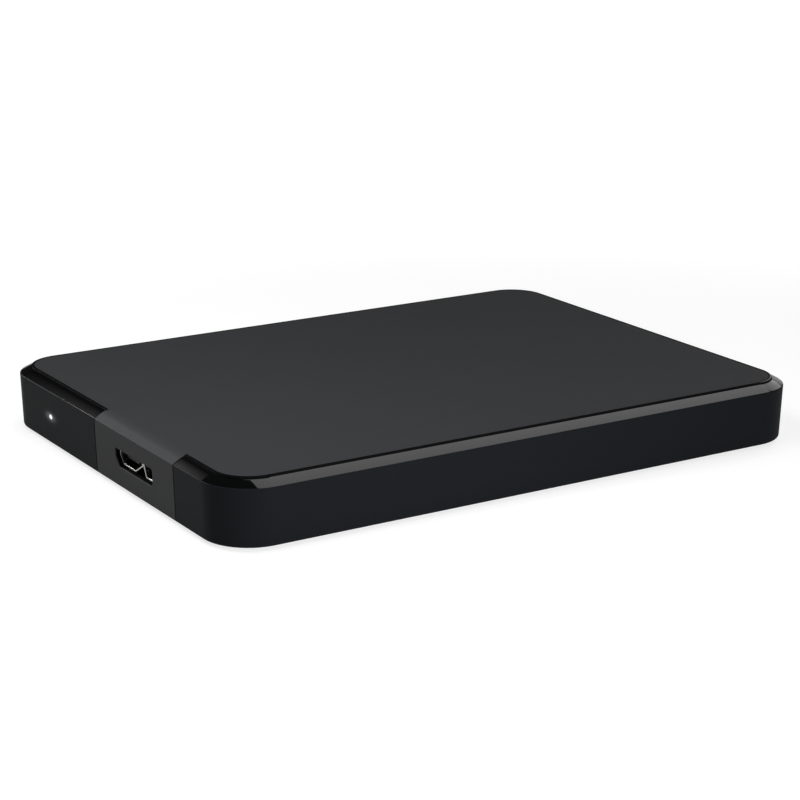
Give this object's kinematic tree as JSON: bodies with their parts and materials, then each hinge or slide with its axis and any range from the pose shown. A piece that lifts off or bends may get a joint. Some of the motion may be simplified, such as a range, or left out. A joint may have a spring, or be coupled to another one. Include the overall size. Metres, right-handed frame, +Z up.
{
  "type": "portable external hard drive",
  "caption": "Slim portable hard drive: matte top cover with a tongue over the port end, black tub with a gloss bevel, a 2.5 inch disk drive inside with its spindle and swinging arm.",
  "frame": {"origin": "centre of the footprint, on the plane that the feet stand on", "axes": "+Z up through the top cover, -Y out of the port end, +X across the width"},
  "size_m": [0.082, 0.1106, 0.011],
  "materials": {
    "cover_matte": "fine moulded texture",
    "case_black": "satin sides, polished bevel",
    "foot_rubber": "matte",
    "bumper_rubber": "matte",
    "pipe_clear": "clear",
    "led_white": "gloss",
    "shell_plated": "nickel plate",
    "socket_black": "moulded",
    "contact_gold": "gold plate",
    "board_mask": "solder mask",
    "chip_black": "moulded",
    "screw_steel": "plated",
    "film_black": "film",
    "foil_aluminium": "foil",
    "casting_aluminium": "cast and coated",
    "lid_aluminium": "stamped",
    "gasket_rubber": "soft",
    "sleeve_bronze": "turned",
    "core_steel": "plated",
    "winding_copper": "enamelled copper",
    "hub_steel": "turned",
    "magnet_nickel": "nickel plate",
    "platter_mirror": "polished",
    "clamp_aluminium": "turned",
    "arm_aluminium": "machined",
    "spring_steel": "rolled",
    "slider_ceramic": "lapped",
    "flex_amber": "polyimide film",
    "ramp_resin": "moulded",
    "filter_felt": "felt"
  },
  "bodies": {
    "case": {"top_cover": "cover_matte", "bottom_case": "case_black", "foot_1": "foot_rubber", "foot_2": "foot_rubber", "foot_3": "foot_rubber", "foot_4": "foot_rubber", "bumper_1": "bumper_rubber", "bumper_2": "bumper_rubber", "bumper_3": "bumper_rubber", "bumper_4": "bumper_rubber", "light_pipe": "pipe_clear", "status_led": "led_white", "usb_shell": "shell_plated", "usb_insulator": "socket_black", "usb_contacts": "contact_gold", "circuit_board": "board_mask", "controller_chip": "chip_black", "memory_chip": "chip_black", "motor_chip": "chip_black", "board_screws": "screw_steel", "board_insulator": "film_black", "shield_foil": "foil_aluminium", "drive_base": "casting_aluminium", "drive_lid": "lid_aluminium", "lid_gasket": "gasket_rubber", "lid_screws": "screw_steel", "spindle_sleeve": "sleeve_bronze", "stator_core": "core_steel", "stator_coils": "winding_copper", "pivot_shaft": "hub_steel", "lower_yoke": "core_steel", "upper_yoke": "core_steel", "lower_magnet": "magnet_nickel", "upper_magnet": "magnet_nickel", "parking_ramp": "ramp_resin", "ramp_screw": "screw_steel", "flex_bracket": "flex_amber", "recirculation_filter": "filter_felt", "breather_filter": "filter_felt"},
    "disk_pack": {"spindle_hub": "hub_steel", "rotor_magnet": "magnet_nickel", "platter": "platter_mirror", "disk_clamp": "clamp_aluminium", "clamp_screw": "screw_steel"},
    "head_stack": {"pivot_bearing": "hub_steel", "actuator_arm": "arm_aluminium", "voice_coil": "winding_copper", "suspension_upper": "spring_steel", "suspension_lower": "spring_steel", "slider_upper": "slider_ceramic", "slider_lower": "slider_ceramic", "flex_tail": "flex_amber"}
  },
  "joints": [
    {"name": "spindle_spin", "type": "hinge", "parent": "case", "child": "disk_pack", "pos_m": [0, 0.01648, 0.0067], "axis": [0, 0, 1], "continuous": true},
    {"name": "actuator_swing", "type": "hinge", "parent": "case", "child": "head_stack", "pos_m": [0.012, -0.02304, 0.0067], "axis": [0, 0, -1], "range_deg": [0, 33.3]}
  ]
}
